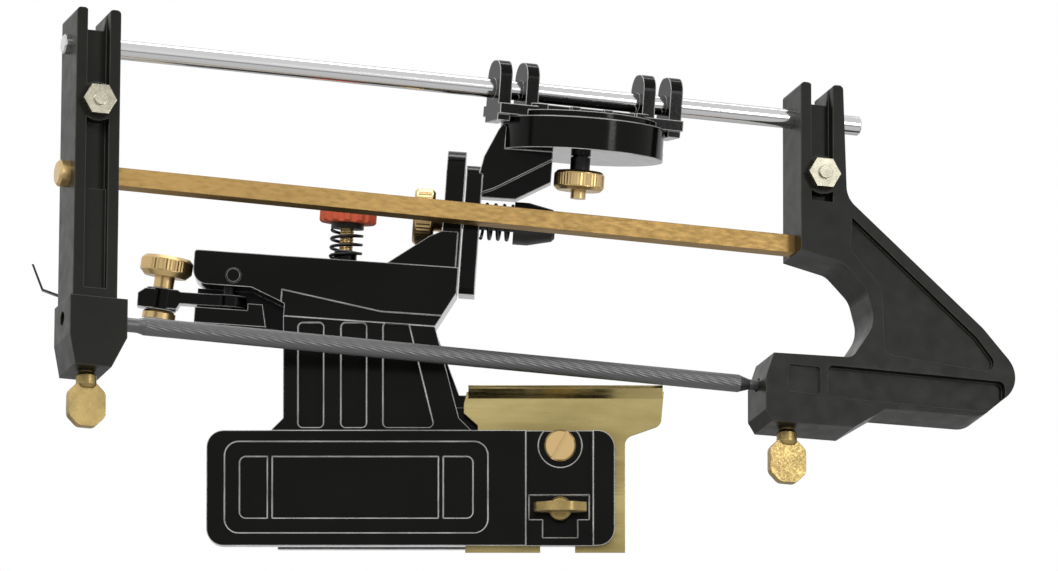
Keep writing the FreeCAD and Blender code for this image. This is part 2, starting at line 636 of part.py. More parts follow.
def chain_stop():
    """Leaf under the lug, its rivet, and the arm, screw and knob that press on it."""
    leaf = new_body()
    under = v.lug_low
    thick = v.leaf_thick
    line = [
        (-v.rivet_place + 3, under), (-v.lug_left, under), (-v.leaf_knee, v.leaf_knee_height),
        (-v.leaf_end, v.leaf_rise), (-v.leaf_bend, v.leaf_bend_height), (-v.leaf_tip, v.leaf_tip_height),
        (-v.leaf_tip - thick, v.leaf_tip_height),
        (-v.leaf_bend - thick * 0.8, v.leaf_bend_height - thick * 0.6),
        (-v.leaf_end, v.leaf_rise - thick), (-v.leaf_knee, v.leaf_knee_height - thick),
        (-v.lug_left, under - thick), (-v.rivet_place + 3, under - thick),
    ]
    pad(leaf, "y", line, -v.pin_depth - v.leaf_width / 2, v.leaf_width / 2 - v.pin_depth)
    cut(leaf, "z", (-v.rivet_place - 3, -v.pin_depth, v.rivet_radius), under - 2, under + 1)
    finish(leaf, "stop_leaf_spring", lean)
    rivet_place = Vector(-v.rivet_place.value - 3, -v.pin_depth.value, 0)
    turned_part("leaf_rivet", [
        (0, under), (v.rivet_radius, under), (v.rivet_radius, under - thick),
        (v.rivet_radius + 1, under - thick), (v.rivet_radius + 0.4, under - thick - v.rivet_head),
        (0, under - thick - v.rivet_head),
    ], lean * Placement(rivet_place, Rotation()))
    stop_arm()


def stop_arm():
    """Arm with a level eye between head and lug, and a tilted boss for the stop screw."""
    arm = new_body()
    radius = v.eye_radius
    low, high = v.eye_height - v.eye_thick / 2, v.eye_height + v.eye_thick / 2
    pad(arm, "z", (0, 0, radius), low, high)
    out = v.stop_place
    near, far = v.stop_boss_radius - out, -v.stop_boss_radius - out
    block_top, block_low = v.arm_top + v.arm_swell, v.arm_low - v.arm_drop
    bar = [
        (0, low), (0, high), (-v.arm_waist, v.arm_top), (near + 1, v.arm_top), (near, block_top),
        (far, block_top),
        (-v.arm_length, v.arm_end_top), (-v.arm_length, v.arm_end_low), (far, block_low),
        (near, block_low),
        (near + 1, v.arm_low), (-v.arm_waist, v.arm_low),
    ]
    pad(arm, "y", bar, -v.arm_width / 2, v.arm_width / 2)
    cut(arm, "z", (0, 0, v.pin_radius + v.bore_gap), low - 1, high + 1)
    pivot = Placement(Vector(-v.pin_place.value, -v.pin_depth.value, 0), Rotation())
    tilt = Rotation(Vector(0, 1, 0), v.arm_tilt.value)
    screw = Placement(Vector(-out.value, 0, v.stop_height.value), tilt)
    doc.recompute()
    boss = doc.addObject("Part::Cylinder", "boss")
    bind(boss, "Radius", v.stop_boss_radius)
    bind(boss, "Height", v.stop_boss_low + v.stop_boss_top)
    boss.Placement = screw * Placement(Vector(0, 0, -v.stop_boss_low.value), Rotation())
    whole = doc.addObject("Part::MultiFuse", "arm_and_boss")
    whole.Shapes = [arm, boss]
    bore = doc.addObject("Part::Cylinder", "screw_bore")
    bind(bore, "Radius", v.stop_radius + v.bore_gap)
    bore.Height = 30
    bore.Placement = screw * Placement(Vector(0, 0, -15), Rotation())
    ready = doc.addObject("Part::Cut", "arm")
    ready.Base = whole
    ready.Tool = bore
    finish(ready, "stop_arm", lean * pivot)
    knob_low = v.stop_knob_low
    knob_top = knob_low + v.stop_knob_height
    collar = v.stop_boss_top + v.face_gap
    turned_part("stop_screw", [
        (0, -v.stop_foot_low), (v.stop_radius, -v.stop_foot_low), (v.stop_radius, collar),
        (v.stop_collar_radius, collar), (v.stop_collar_radius, knob_low),
        (v.stop_knob_radius - 1.6, knob_low),
        (v.stop_knob_radius, knob_low + 1.6), (v.stop_knob_radius, knob_top - 1),
        (v.stop_knob_radius - 1, knob_top), (0, knob_top),
    ], lean * pivot * screw)
    foot_low = -v.stop_foot_low - v.stop_foot_height
    turned_part("stop_foot", [
        (0, foot_low), (v.stop_foot_radius, foot_low), (v.stop_foot_radius, -v.stop_foot_low - 0.8),
        (v.stop_foot_radius - 0.8, -v.stop_foot_low), (0, -v.stop_foot_low),
    ], lean * pivot * screw)


def along_hinge(across):
    """A place on the tilt hinge's axis, with the piece's own Z axis along it."""
    point = Vector(number(across), -v.hinge_depth.value, v.hinge_height.value)
    return lean * Placement(point, Rotation(Vector(0, 1, 0), 90))


def tilt_bolt():
    """Bolt through both ears, with a knurled knob at one end and a sprung cap nut at the other."""
    ear_left = -v.bridge_right - v.ear_thick
    knob_right = ear_left - v.tilt_knob_gap
    knob_left = knob_right - v.tilt_knob_width
    radius = v.tilt_knob_radius
    collar_end = ear_left - v.face_gap
    turned_part("tilt_knob", [
        (0, knob_left), (radius - 0.8, knob_left), (radius, knob_left + 0.8), (radius, knob_right - 0.8),
        (radius - 0.8, knob_right), (v.tilt_collar_radius, knob_right),
        (v.tilt_collar_radius, collar_end),
        (0, collar_end),
    ], along_hinge(0))
    plate_right = -v.bridge_right + v.ear_gap + v.plate_thick
    cap_left = plate_right + v.tilt_spring_length
    turned_part("tilt_bolt", [
        (0, collar_end), (v.bolt_radius, collar_end), (v.bolt_radius, cap_left), (0, cap_left),
    ], along_hinge(0))
    turned_part("tilt_cap_nut", [
        (0, cap_left), (v.cap_radius, cap_left), (v.cap_radius, cap_left + v.cap_length * 0.35),
        (v.cap_end_radius, cap_left + v.cap_length - 1), (v.cap_end_radius - 1, cap_left + v.cap_length),
        (0, cap_left + v.cap_length),
    ], along_hinge(0))
    coil("tilt_spring", v.tilt_spring_radius, v.spring_wire, v.tilt_spring_length - 0.1, v.spring_turns,
         along_hinge(plate_right + 0.05))


def swivel_arm():
    """Moving hinge plate, the arm that rises from it, and the round table."""
    body = new_body()
    left = -v.bridge_right + v.ear_gap
    right = left + v.plate_thick
    depth = v.hinge_depth
    plate = [
        (-depth - v.ear_front, v.hinge_height - v.plate_drop, 2),
        (v.ear_front - depth, v.hinge_height - v.plate_drop, 2),
        (v.ear_front - depth, v.hinge_height + v.plate_rise, 6),
        (-depth - v.ear_front, v.hinge_height + v.plate_rise, 6),
    ]
    pad(body, "x", plate, left, right)
    knob_clear = -(v.table_place + v.swivel_knob_radius + 1)
    spring_clear = v.hinge_height + v.cap_radius + 0.4
    web = [
        (right - 1, spring_clear), (right + v.tilt_spring_length, spring_clear),
        (knob_clear, v.hinge_height + 13.6),
        (knob_clear, v.table_low + 1), (-v.table_radius, v.table_low + 1),
        (right - 1, v.hinge_height + 12),
    ]
    pad(body, "y", web, -depth - v.arm_half_web, v.arm_half_web - depth)
    flange = [
        (right - 1, v.hinge_height + 8), (right + 4, v.hinge_height + 10),
        (knob_clear, v.table_low - 2.4),
        (knob_clear, v.table_low + 1), (-v.table_place - v.table_radius + 4, v.table_low + 5),
        (-v.table_place - v.table_radius + 1, v.table_low + 8),
        (-v.table_place - v.table_radius - 0.5, v.table_low + 6),
        (right, v.hinge_height + v.plate_rise + 3), (right - 1, v.hinge_height + v.plate_rise - 2),
    ]
    pad(body, "y", flange, -depth - v.arm_front, v.arm_front - depth)
    centre = (-v.table_place, -depth, v.table_radius)
    pad(body, "z", centre, v.table_low, v.table_top)
    rim = new_sketch(body, "YZ", -v.table_place + v.table_radius)
    high = v.table_top - 1.8
    draw(rim,
        oblong(-depth - v.window_width / 2, v.window_width / 2 - depth, high - v.window_height, high))
    window = body.newObject("PartDesign::Pocket", "window")
    window.Profile = rim
    bind(window, "Length", v.window_depth)
    centre_mark = new_sketch(body, "XY", v.table_top)
    draw_circle(centre_mark, -v.table_place, -depth, v.swivel_radius + v.bore_gap)
    bore = body.newObject("PartDesign::Pocket", "bore")
    bore.Profile = centre_mark
    bind(bore, "Length", v.table_top - v.table_low + 1)
    cut(body, "x", (-depth, v.hinge_height, v.bolt_radius + v.bore_gap), left - 1, right + 6)
    return finish(body, "swivel_arm_and_table", lean)


def swivel_screw():
    """Screw and knurled knob below the table, with a collar under it."""
    place = lean * Placement(Vector(-v.table_place.value, -v.hinge_depth.value, 0), Rotation())
    knob_low = v.swivel_knob_top - v.swivel_knob_height
    top = v.rod_height - v.carriage_foot + v.swivel_reach - 0.4
    radius = v.swivel_knob_radius
    turned_part("swivel_knob", [
        (0, knob_low), (radius - 1, knob_low), (radius, knob_low + 1), (radius, v.swivel_knob_top - 0.8),
        (radius - 0.8, v.swivel_knob_top), (0, v.swivel_knob_top),
    ], place)
    turned_part("swivel_screw", [
        (0, v.swivel_knob_top), (v.swivel_collar_radius, v.swivel_knob_top),
        (v.swivel_collar_radius, v.table_low - v.face_gap), (v.swivel_radius, v.table_low - v.face_gap),
        (v.swivel_radius, top), (0, top),
    ], place)
    turned_part("swivel_screw_tip", [
        (0, knob_low - v.swivel_tip), (v.swivel_radius, knob_low - v.swivel_tip),
        (v.swivel_radius, knob_low),
        (0, knob_low),
    ], place)


def carriage():
    """Carriage on the table. Two forks of two ears each carry the rod."""
    body = new_body()
    foot, deck = -v.carriage_foot, -v.carriage_deck
    pad(body, "z", (0, 0, v.table_radius - 3), foot, foot + 2)
    middle = oblong(-v.inner_ear, v.inner_ear, -v.carriage_half, v.carriage_half, 2)
    pad(body, "z", middle, foot, deck + 1)
    for side in (-1, 1):
        half = v.ear_width / 2
        block = oblong(side * (v.inner_ear - half), side * (v.outer_ear + half), -v.carriage_half,
            v.carriage_half)
        if side < 0:
            block = [block[1], block[0], block[3], block[2]]
        pad(body, "z", block, foot, deck)
        for ear in (v.inner_ear, v.outer_ear):
            low = foot if ear is v.inner_ear else -v.fork_low
            shape = [
                (-v.fork_half, low), (v.fork_half, low), (v.fork_half, v.fork_top, 5.5),
                (-v.fork_half, v.fork_top, 5.5),
            ]
            pad(body, "x", shape, side * ear - half, side * ear + half)
    for side in (-1, 0, 1):
        window = oblong(side * 11 - v.carriage_window / 2, side * 11 + v.carriage_window / 2, deck - 2,
            deck + 2)
        cut(body, "y", window, -v.carriage_half - 1, 2 - v.carriage_half)
    ends = v.outer_ear + v.ear_width
    cut(body, "x", (0, 0, v.rod_radius + v.bore_gap), -ends, ends)
    cut(body, "z", (0, 0, v.swivel_radius + v.bore_gap), foot - 1, foot + v.swivel_reach)
    return finish(body, "carriage", rod_frame)


def along_rod(across, back, down):
    """A place in the file frame, with the piece's own Z axis along the rod."""
    point = Vector(number(across), number(back), -number(down))
    return file_frame * Placement(point, Rotation(Vector(0, 1, 0), 90))


def guide_rod():
    """Ground rod that slides and turns in the carriage."""
    radius = v.rod_radius
    corners = [
        (0, -v.rod_left), (radius - 0.5, -v.rod_left), (radius, 0.5 - v.rod_left),
        (radius, v.rod_right - 0.5),
        (radius - 0.5, v.rod_right), (0, v.rod_right),
    ]
    return turned_part("guide_rod", corners, along_rod(0, 0, 0))


def ear_notch(left, width):
    """Top of an upright between its two ears."""
    thin, slope = v.ear_thin, v.ear_slope
    right = left + width
    return [
        (right, v.ear_height, 1.4), (right - thin, v.ear_height, 1.4), (right - thin - slope, v.web_top),
        (left + thin + slope, v.web_top), (left + thin, v.ear_height, 1.4), (left, v.ear_height, 1.4),
    ]


def channels(body, left, width, top, bottom, half):
    """Hollows in the front and the back of an upright, with a step part way down."""
    inner_left, inner_right = left + v.ear_thin, left + width - v.ear_thin
    deep = v.web_depth
    for near, far in ((-half, -half + deep), (half - deep, half)):
        cut(body, "y", oblong(inner_left, inner_right, bottom, top), near, far)


def nut_seat(body, middle, half):
    """Round boss in the front channel, bored for the stud of the rod's nut."""
    pad(body, "y", (middle, -v.nut_drop, v.nut_seat_radius), -half, v.web_depth + 1 - half)
    cut(body, "y", (middle, -v.nut_drop, v.stud_radius), -half, half)


def left_upright():
    """Left upright with its ears, channel and file clamp."""
    body = new_body()
    left = -v.upright_left
    right = left + v.upright_width
    half = v.upright_half
    outline = [(left, -v.block_top - 1), (right, -v.block_top - 1)] + ear_notch(left, v.upright_width)
    pad(body, "y", outline, -half, half)
    channels(body, left, v.upright_width, v.ear_height + 1, -v.web_step, half)
    shallow = half - v.step_depth
    hollow = oblong(left + v.ear_thin, right - v.ear_thin, 3 - v.block_top, -v.web_step)
    cut(body, "y", hollow, -half, -shallow)
    cut(body, "y", hollow, shallow, half)
    bevel = v.block_bevel
    block = [
        (-v.block_left, -v.block_low), (-v.upright_left + 1, -v.block_foot),
        (-v.block_right - bevel - 2, -v.block_foot),
        (-v.block_right, -v.block_low), (-v.block_right, -v.block_top), (-v.block_left, -v.block_top),
    ]
    pad(body, "y", block, -half - 0.5, half + 0.5)
    cut(body, "x", (0, 0, v.rod_radius + v.bore_gap), left - 1, right + 1)
    cut(body, "x", (0, -v.file_drop, v.file_plain_radius), -v.block_left - 1, -v.block_right + 1)
    bar = oblong(-v.bar_depth / 2, v.bar_depth / 2, -v.bar_drop - v.bar_height / 2,
        v.bar_height / 2 - v.bar_drop)
    cut(body, "x", bar, left - 1, right + 1)
    middle = left + v.upright_width / 2
    cut(body, "z", (middle, 0, v.thumb_radius + v.bore_gap), -v.block_foot - 1, -v.file_drop)
    nut_seat(body, middle, half)
    return finish(body, "left_upright", file_frame)


def handle():
    """Right upright, handle and file clamp in one casting."""
    body = new_body()
    left = v.column_left
    right = left + v.column_width
    half = v.handle_half
    drop = v.file_drop
    outline = ear_notch(left, v.column_width) + [
        (left, -46.5), (85.5, -49.6, 6), (93.4, -57.5, 8), (96.4, -69, 10), (88.5, -81.2, 4),
        (61.6, -82.1),
        (58.8, 0.5 - drop), (58.8, -10.3 - drop), (61.1, -14 - drop), (88.9, -13.6 - drop),
        (99.8, -6.4 - drop),
        (133.1, -5.9 - drop, 8), (148.4, 7.5 - drop, 9), (133.6, -67.2, 14), (right + 1.2, -27.6, 8),
    ]
    pad(body, "y", outline, -half, half)
    channels(body, left, v.column_width, v.ear_height + 1, -v.nut_drop - 9, half)
    recess = [
        (right + 3, -34), (right + 2.4, -45, 3), (98.8, -57, 6), (99.6, -79, 3), (141, -82, 3),
        (131.5, -70.5, 8),
    ]
    floor = v.handle_recess
    cut(body, "y", recess, -half, floor - half)
    cut(body, "y", recess, half - floor, half)
    grip = oblong(80, 141, -4.2 - drop, 6.5 - drop, 2)
    cut(body, "y", grip, -half, v.grip_depth - half)
    cut(body, "y", grip, half - v.grip_depth, half)
    cut(body, "y", oblong(66.5, 77.5, -3.5 - drop, 5.5 - drop, 1), -half, 1.2 - half)
    cut(body, "x", (0, 0, v.rod_radius + v.bore_gap), left - 1, right + 1)
    cut(body, "x", (0, -drop, v.file_plain_radius), 50, v.file_right + 1)
    bar = oblong(-v.bar_depth / 2, v.bar_depth / 2, -v.bar_drop - v.bar_height / 2,
        v.bar_height / 2 - v.bar_drop)
    cut(body, "x", bar, left - 1, right - 4)
    cut(body, "z", (v.right_thumb, 0, v.thumb_radius + v.bore_gap), -drop - 16, -drop)
    nut_seat(body, left + v.column_width / 2, half)
    return finish(body, "handle", file_frame)


def spacer_bar():
    """Flat bar between the uprights, with a nut outside the left one."""
    body = new_body()
    section = oblong(-v.bar_depth / 2, v.bar_depth / 2, -v.bar_drop - v.bar_height / 2,
        v.bar_height / 2 - v.bar_drop)
    pad(body, "x", section, -v.upright_left, v.column_left + v.column_width - 4)
    finish(body, "spacer_bar", file_frame)
    radius = v.bar_nut_radius
    left = -v.upright_left
    turned_part("bar_end_nut", [
        (0, left - v.bar_nut_length), (radius - 0.8, left - v.bar_nut_length),
        (radius, left - v.bar_nut_length + 0.8), (radius, left), (0, left),
    ], along_rod(0, 0, v.bar_drop))


def round_file():
    """Round file: plain point, cut length and tapering tang."""
    plain, full = v.file_plain_radius, v.file_radius
    corners = [
        (0, -v.file_left), (plain - 0.02, -v.file_left), (plain - 0.02, -v.file_cut_left - 2),
        (full, -v.file_cut_left),
        (full, v.file_cut_right), (v.tang_radius, v.file_neck), (v.tang_radius, v.file_right),
        (0, v.file_right),
    ]
    return turned_part("round_file", corners, along_rod(0, 0, v.file_drop))


def rod_nut(name, middle, half):
    """Hexagon nut and stud that lock the rod in an upright."""
    body = new_body()
    seat = -half
    corners = []
    around = v.nut_flats / math.sqrt(3)
    for side in range(6):
        angle = math.radians(60 * side)
        corners.append((middle + around * math.cos(angle), around * math.sin(angle) - v.nut_drop))
    pad(body, "y", corners, seat - v.nut_thick, seat)
    pad(body, "y", (middle, -v.nut_drop, v.stud_radius), seat - v.nut_thick - v.stud_stand,
        half - v.web_depth)
    return finish(body, name, file_frame)


def thumb_screw(name, middle, foot):
    """Thumb screw that clamps the file from below. Its own Z axis points up the frame."""
    body = new_body()
    top = -v.file_drop - v.file_plain_radius
    start = -foot - v.face_gap
    turn(body, [
        (0, start - 5), (v.thumb_radius, start - 5), (v.thumb_radius + 0.8, start - 4),
        (v.thumb_radius + 0.8, start - 1), (v.thumb_radius, start), (v.thumb_radius, top), (0, top),
    ])
    half_up, half_across = v.thumb_length / 2, v.thumb_width / 2
    paddle(body, start - 3 - half_up, half_up, half_across, v.thumb_thick)
    place = file_frame * Placement(Vector(number(middle), 0, 0), Rotation())
    return finish(body, name, place)


saddle_casting()
pressure_plate()
clamp_screw()
set_screw()
bridge()
stop_pin()
lock_button()
height_screw()
springs()
chain_stop()
tilt_bolt()
swivel_arm()
swivel_screw()
carriage()
guide_rod()
left_upright()
handle()
spacer_bar()
round_file()
rod_nut("left_rod_nut", v.upright_width / 2 - v.upright_left, v.upright_half)
rod_nut("right_rod_nut", v.column_left + v.column_width / 2, v.handle_half)
thumb_screw("left_file_screw", v.upright_width / 2 - v.upright_left, v.block_foot)
thumb_screw("right_file_screw", v.right_thumb, v.file_drop + 14)
doc.recompute()

for item in doc.Objects:
    if "Invalid" in item.State or "Error" in item.State:
        raise RuntimeError(item.Label + " failed: " + str(item.State))
os.makedirs("parts", exist_ok=True)
for item in parts:
    shape = item.Shape
    if shape.isNull() or not shape.isValid() or not shape.Solids:
        raise RuntimeError(item.Label + " has no valid solid")
    if len(shape.Solids) != 1:
        raise RuntimeError(item.Label + " fell into " + str(len(shape.Solids)) + " solids")
    shape.exportStep("parts/" + item.Label + ".step")
    print(item.Label, round(shape.Volume), len(shape.Faces))
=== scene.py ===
import json
import math

import bpy
from bpy.props import FloatProperty, FloatVectorProperty, IntProperty, PointerProperty
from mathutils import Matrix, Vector

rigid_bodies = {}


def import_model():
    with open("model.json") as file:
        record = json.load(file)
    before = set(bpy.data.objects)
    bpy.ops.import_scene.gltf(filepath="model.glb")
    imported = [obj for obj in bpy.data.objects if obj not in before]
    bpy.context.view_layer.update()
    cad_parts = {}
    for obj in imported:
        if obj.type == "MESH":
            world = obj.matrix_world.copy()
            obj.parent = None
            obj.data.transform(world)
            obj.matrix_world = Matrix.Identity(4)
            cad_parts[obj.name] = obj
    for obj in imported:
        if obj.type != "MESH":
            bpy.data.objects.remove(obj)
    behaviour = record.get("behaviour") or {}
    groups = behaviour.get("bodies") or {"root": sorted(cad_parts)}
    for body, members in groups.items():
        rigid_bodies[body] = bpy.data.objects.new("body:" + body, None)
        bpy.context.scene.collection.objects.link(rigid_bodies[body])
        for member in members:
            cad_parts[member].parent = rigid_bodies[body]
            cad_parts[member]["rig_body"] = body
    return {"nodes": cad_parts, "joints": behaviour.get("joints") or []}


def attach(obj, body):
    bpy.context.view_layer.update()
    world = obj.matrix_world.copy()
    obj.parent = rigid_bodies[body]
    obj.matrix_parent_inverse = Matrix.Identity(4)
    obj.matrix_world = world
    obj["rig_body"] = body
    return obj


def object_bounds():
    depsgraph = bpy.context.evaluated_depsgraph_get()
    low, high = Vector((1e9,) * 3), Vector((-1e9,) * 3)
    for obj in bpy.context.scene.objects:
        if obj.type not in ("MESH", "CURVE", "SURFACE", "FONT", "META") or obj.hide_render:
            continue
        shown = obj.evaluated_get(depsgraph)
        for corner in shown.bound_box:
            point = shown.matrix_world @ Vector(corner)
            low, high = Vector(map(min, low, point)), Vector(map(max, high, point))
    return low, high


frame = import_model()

bl_info = {
    "name": "Saw chain filing guide",
    "version": (1, 0, 0),
    "blender": (4, 5, 0),
    "location": "View3D > Sidebar > Filing guide",
    "description": "Finishes, file cut, knurls and threads of a saw chain filing guide, and its stage",
    "category": "Object",
}

CAD_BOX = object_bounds()
UP = Vector((0, 0, 1))
WHITE = (1, 1, 1, 1)
# Bump depths in metres, from the smoothest face to the roughest
BURNISHED = 0.000004
POLISHED = 0.000005
SMOOTH = 0.00001
DRAWN = 0.00002
GRAINY = 0.00003
# How round the edges of moulded plastic look
MOULD_EDGE = 0.0003
# Height of a valley between two teeth, as a share of the tooth
VALLEY = 0.1
# Share of a knob's rim that its knurl covers
KNURLED = 0.86
JOINTS = {joint["name"]: joint for joint in frame["joints"]}


def colour(name, description, default):
    return FloatVectorProperty(name=name, description=description, default=default, subtype="COLOR",
                               min=0, max=1)


def length(name, description, default):
    return FloatProperty(name=name, description=description, default=default, subtype="DISTANCE",
                         unit="LENGTH")


class FinishSettings(bpy.types.PropertyGroup):
    """Colours and edge of the paints, platings and metals."""

    gloss_black: colour("Gloss black", "Enamel of the saddle, the arm and the carriage",
                        (0.003, 0.003, 0.0025))
    satin_black: colour("Satin black", "Enamel of the file frame", (0.0065, 0.0065, 0.0045))
    yellow_zinc: colour("Yellow zinc", "Passivated zinc of the pressure plate", (0.55, 0.45, 0.2))
    plate_shade: colour("Plate shade", "Darker patches of the pressure plate", (0.26, 0.2, 0.075))
    thumb_brass: colour("Thumb brass", "Dull brass of the thumb screws", (0.34, 0.25, 0.1))
    bar_zinc: colour("Bar zinc", "Darker passivated zinc of the spacer bar", (0.33, 0.21, 0.075))
    brass: colour("Brass", "Knobs, screws and nuts", (0.46, 0.33, 0.13))
    bright_zinc: colour("Bright zinc", "Hexagon nuts", (0.42, 0.4, 0.31))
    rod_steel: colour("Rod steel", "Ground guide rod", (0.6, 0.6, 0.6))
    file_steel: colour("File steel", "Hardened round file", (0.23, 0.23, 0.22))
    spring_steel: colour("Spring steel", "Blackened springs, leaf and pin", (0.035, 0.035, 0.033))
    red_plastic: colour("Red plastic", "Knob of the height screw", (0.62, 0.075, 0.02))
    edge_radius: length("Edge radius", "How round the cast edges look", 0.0006)
    # Painted highlight: a near-white colour laid along the gloss enamel's edges, standing for light
    # glinting off them
    painted_edge_highlight: colour("Bright edge", "Thin polished edges of the gloss enamel", (1.0, 1.0, 0.97))
    # Painted highlight: a dark grey laid along the satin enamel's edges, standing for light catching them
    painted_satin_highlight: colour("Soft edge", "Rubbed edges of the satin enamel", (0.09, 0.09, 0.075))


class CutSettings(bpy.types.PropertyGroup):
    """Sizes of the file's cut, the knurls and the threads."""

    file_flutes: IntProperty(name="File flutes", description="Spiral cuts around the file", default=20,
                             min=6)
    file_depth: length("File cut depth", "Depth of the spiral cut", 0.00009)
    file_slope: FloatProperty(name="File cut slope",
                              description="Angle between a cut and the file's axis",
                              default=math.radians(12), subtype="ANGLE")
    file_step: length("File step", "Length of one row of the cut", 0.0008)
    knurl_teeth: IntProperty(name="Knurl teeth", description="Teeth around a knob", default=48, min=8)
    knurl_depth: length("Knurl depth", "How far a tooth stands out", 0.00016)
    thread_pitch: length("Thread pitch", "Pitch of the screw threads", 0.0008)
    thread_depth: length("Thread depth", "How far a thread stands out", 0.00028)


class StageSettings(bpy.types.PropertyGroup):
    """Camera, lamps and floor."""

    camera_drop: FloatProperty(name="Camera drop", description="How far from below the camera looks",
                               default=math.radians(5), subtype="ANGLE")
    camera_distance: length("Camera distance", "From the camera to the middle of the guide", 3.7)
    camera_lens: FloatProperty(name="Lens", description="Focal length in millimetres", default=391)
    aim: FloatVectorProperty(name="Aim", description="Point at the middle of the picture",
                             default=(-0.01, -0.01, 0.0727), subtype="XYZ", unit="LENGTH")
    floor_depth: length("Floor depth", "How far the floor lies below the guide", 0.5)
    floor_size: length("Floor size", "Side of the floor", 9)
    floor_colour: colour("Floor", "Pale floor", (0.86, 0.86, 0.86))
    lamp_power: FloatProperty(name="Lamp power", description="Power of the main lamp in watts", default=15)
    ambient: FloatProperty(name="Ambient", description="Strength of the world's own light", default=0.4)


def line_of(joint):
    """A point on a joint's axis, and its direction."""
    data = JOINTS[joint]
    return Vector(data["pos_m"]), Vector(data["axis"]).normalized()


def centre_line(node, axis):
    """The line through the middle of a turned node, along an axis."""
    side = axis.orthogonal().normalized()
    other = axis.cross(side)
    point = Vector()
    for direction in (side, other):
        reach = [direction.dot(vertex.co) for vertex in frame["nodes"][node].data.vertices]
        point += direction * (min(reach) + max(reach)) / 2
    return point


def profile(node, point, axis):
    """Place along a line and distance from it, for each of a node's vertices."""
    rows = []
    for vertex in frame["nodes"][node].data.vertices:
        away = vertex.co - point
        along = away.dot(axis)
        rows.append((along, (away - axis * along).length))
    return rows


def widest(node, point, axis, share=0.97):
    """Start, end and radius of a turned node's widest stretch."""
    rows = profile(node, point, axis)
    radius = max(row[1] for row in rows)
    places = [row[0] for row in rows if row[1] > radius * share]
    return min(places), max(places), radius


def deselect():
    bpy.ops.object.select_all(action="DESELECT")


def pick(piece, chosen):
    """Selects the vertices that a test names, and goes to edit mode."""
    bpy.ops.object.mode_set(mode="EDIT")
    bpy.ops.mesh.select_mode(type="VERT")
    bpy.ops.mesh.select_all(action="DESELECT")
    bpy.ops.object.mode_set(mode="OBJECT")
    for vertex in piece.data.vertices:
        vertex.select = chosen(vertex.co)
    bpy.ops.object.mode_set(mode="EDIT")


def settle(piece, name, point, axis, node, finish):
    """Puts a piece that was modelled about Z on its line, and lets it ride with a node's body."""
    piece.name = name
    piece.data.name = name
    piece.rotation_mode = "QUATERNION"
    piece.rotation_quaternion = UP.rotation_difference(axis)
    piece.location = point
    bpy.ops.object.transform_apply(location=True, rotation=True, scale=True)
    piece.data.materials.clear()
    piece.data.materials.append(bpy.data.materials[finish])
    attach(piece, frame["nodes"][node]["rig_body"])
    deselect()


def apply_modifier(piece, kind, **values):
    modifier = piece.modifiers.new(kind.title(), kind)
    for field, value in values.items():
        setattr(modifier, field, value)
    bpy.ops.object.modifier_apply(modifier=modifier.name)


def new_finish(name, metallic, specular=0.5):
    """A material with a shader, and the object's own coordinates to draw on it."""
    made = bpy.data.materials.new(name)
    made.use_nodes = True
    tree = made.node_tree
    tree.nodes.clear()
    output = tree.nodes.new("ShaderNodeOutputMaterial")
    shader = tree.nodes.new("ShaderNodeBsdfPrincipled")
    shader.inputs["Metallic"].default_value = metallic
    shader.inputs["Specular IOR Level"].default_value = specular
    tree.links.new(shader.outputs["BSDF"], output.inputs["Surface"])
    place = tree.nodes.new("ShaderNodeTexCoord")
    return tree, shader, place.outputs["Object"]


def cloud(tree, place, scale, detail=3.0, stretch=(1, 1, 1)):
    """Noise of a given number of patches to the metre, stretched along an axis where that is asked."""
    mapping = tree.nodes.new("ShaderNodeMapping")
    mapping.inputs["Scale"].default_value = stretch
    noise = tree.nodes.new("ShaderNodeTexNoise")
    noise.inputs["Scale"].default_value = scale
    noise.inputs["Detail"].default_value = detail
    tree.links.new(place, mapping.inputs["Vector"])
    tree.links.new(mapping.outputs["Vector"], noise.inputs["Vector"])
    return noise.outputs["Fac"]


def shades(tree, factor, low, high):
    """Colours between two shades, as a factor goes through its middle."""
    ramp = tree.nodes.new("ShaderNodeValToRGB")
    ramp.color_ramp.elements[0].position = 0.32
    ramp.color_ramp.elements[1].position = 0.68
    ramp.color_ramp.elements[0].color = (*low, 1)
    ramp.color_ramp.elements[1].color = (*high, 1)
    tree.links.new(factor, ramp.inputs["Fac"])
    return ramp.outputs["Color"]


def span(tree, factor, low, high):
    """A number between two values, as a factor goes through its middle."""
    spread = tree.nodes.new("ShaderNodeMapRange")
    spread.inputs["From Min"].default_value = 0.3
    spread.inputs["From Max"].default_value = 0.7
    spread.inputs["To Min"].default_value = low
    spread.inputs["To Max"].default_value = high
    tree.links.new(factor, spread.inputs["Value"])
    return spread.outputs["Result"]


def relief(tree, shader, height, depth, edge=0.0):
    """Fine relief of a given depth, over edges that look rounded."""
    bump = tree.nodes.new("ShaderNodeBump")
    bump.inputs["Distance"].default_value = depth
    tree.links.new(height, bump.inputs["Height"])
    if edge:
        bevel = tree.nodes.new("ShaderNodeBevel")
        bevel.samples = 6
        bevel.inputs["Radius"].default_value = edge
        tree.links.new(bevel.outputs["Normal"], bump.inputs["Normal"])
    tree.links.new(bump.outputs["Normal"], shader.inputs["Normal"])


def tint(base, factor):
    return tuple(min(1, channel * factor) for channel in base)


def edges(tree, radius):
    """Mask of a piece's edges: 1 where the surface turns within a given radius, and 0 on its flats."""
    rounded = tree.nodes.new("ShaderNodeBevel")
    rounded.samples = 8
    rounded.inputs["Radius"].default_value = radius
    flat = tree.nodes.new("ShaderNodeNewGeometry")
    match = tree.nodes.new("ShaderNodeVectorMath")
    match.operation = "DOT_PRODUCT"
    tree.links.new(rounded.outputs["Normal"], match.inputs[0])
    tree.links.new(flat.outputs["Normal"], match.inputs[1])
    mask = tree.nodes.new("ShaderNodeMapRange")
    mask.inputs["From Min"].default_value = 0.985
    mask.inputs["From Max"].default_value = 0.86
    tree.links.new(match.outputs["Value"], mask.inputs["Value"])
    return mask.outputs["Result"]


